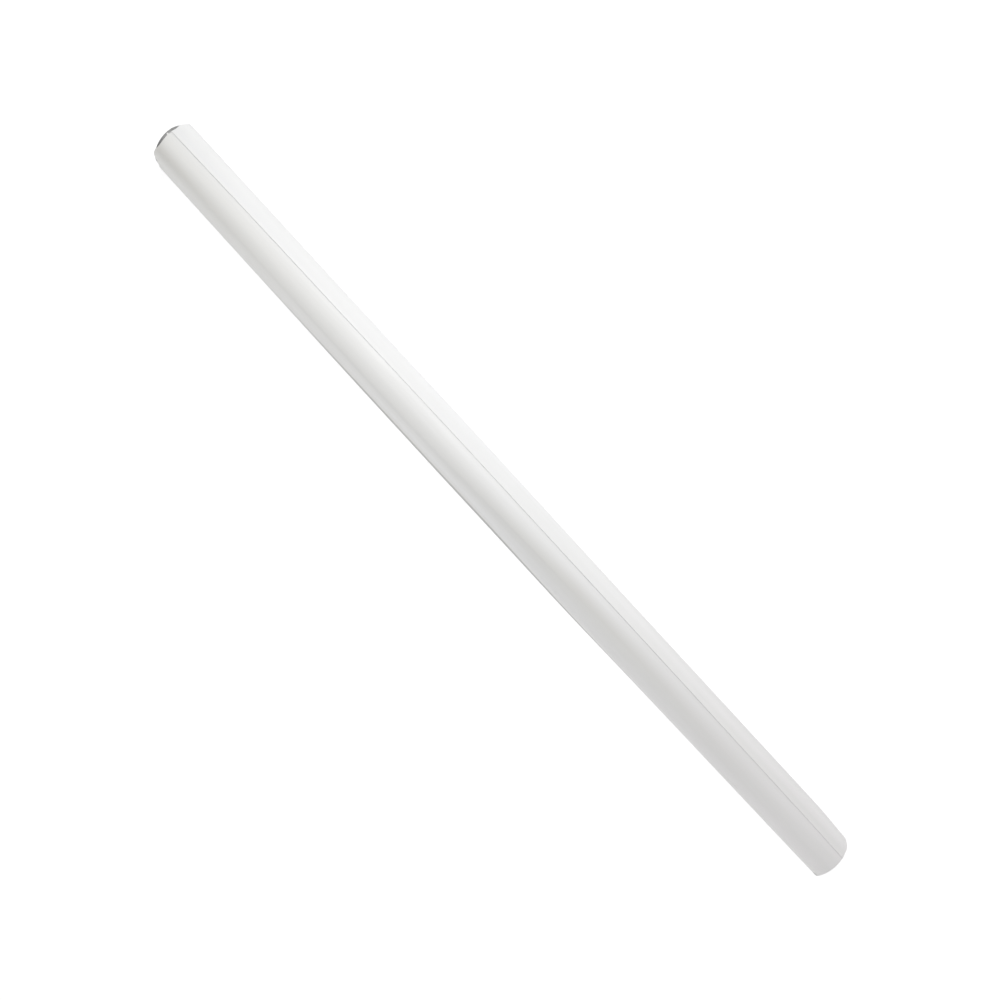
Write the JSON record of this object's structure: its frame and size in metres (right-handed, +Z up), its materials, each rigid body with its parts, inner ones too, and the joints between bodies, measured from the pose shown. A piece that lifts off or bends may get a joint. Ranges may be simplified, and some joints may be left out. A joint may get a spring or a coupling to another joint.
{
  "type": "telescopic white cane",
  "caption": "Telescopic white cane pushed together: a rolled white sleeve over nested tubes, a domed metal glide tip at one end and a cap with a cord eyelet at the other.",
  "frame": {"origin": "middle of the cane's length, on the plane that it lies on", "axes": "+X along the cane from the glide tip to the butt, +Z up; the sleeve's seam is 20 degrees from the top towards +Y"},
  "size_m": [0.301, 0.017, 0.017],
  "materials": {
    "sleeve_white": "satin white vinyl sheet",
    "bare_aluminium": "drawn, bare",
    "section_white": "white baked enamel on aluminium tube",
    "bush_acetal": "turned acetal",
    "friction_brass": "spring brass",
    "cap_white": "moulded, satin",
    "plug_nylon": "natural nylon",
    "eyelet_nickel": "nickel plated",
    "pin_steel": "ground steel",
    "rubber_black": "moulded",
    "glide_steel": "dark polished steel"
  },
  "bodies": {
    "handle": {"sleeve": "sleeve_white", "handle_tube": "bare_aluminium", "handle_bush": "bush_acetal", "butt_plug": "plug_nylon", "butt_cap": "cap_white", "cord_eyelet": "eyelet_nickel", "butt_pin": "pin_steel", "bumper": "rubber_black"},
    "section_2": {"section_2_tube": "section_white", "section_2_bush": "bush_acetal", "section_2_friction_sleeve": "friction_brass"},
    "section_3": {"section_3_tube": "section_white", "section_3_bush": "bush_acetal", "section_3_friction_sleeve": "friction_brass"},
    "section_4": {"section_4_tube": "section_white", "section_4_bush": "bush_acetal", "section_4_friction_sleeve": "friction_brass"},
    "section_5": {"section_5_tube": "section_white", "section_5_friction_sleeve": "friction_brass", "tip_holder": "plug_nylon", "tip_pin": "pin_steel", "tip_buffer": "rubber_black", "glide_tip": "glide_steel"}
  },
  "joints": [
    {"name": "section_2_slide", "type": "slide", "parent": "handle", "child": "section_2", "axis": [-1, 0, 0], "range_m": [0, 0.257]},
    {"name": "section_3_slide", "type": "slide", "parent": "section_2", "child": "section_3", "axis": [-1, 0, 0], "range_m": [0, 0.257]},
    {"name": "section_4_slide", "type": "slide", "parent": "section_3", "child": "section_4", "axis": [-1, 0, 0], "range_m": [0, 0.257]},
    {"name": "section_5_slide", "type": "slide", "parent": "section_4", "child": "section_5", "axis": [-1, 0, 0], "range_m": [0, 0.257]}
  ]
}
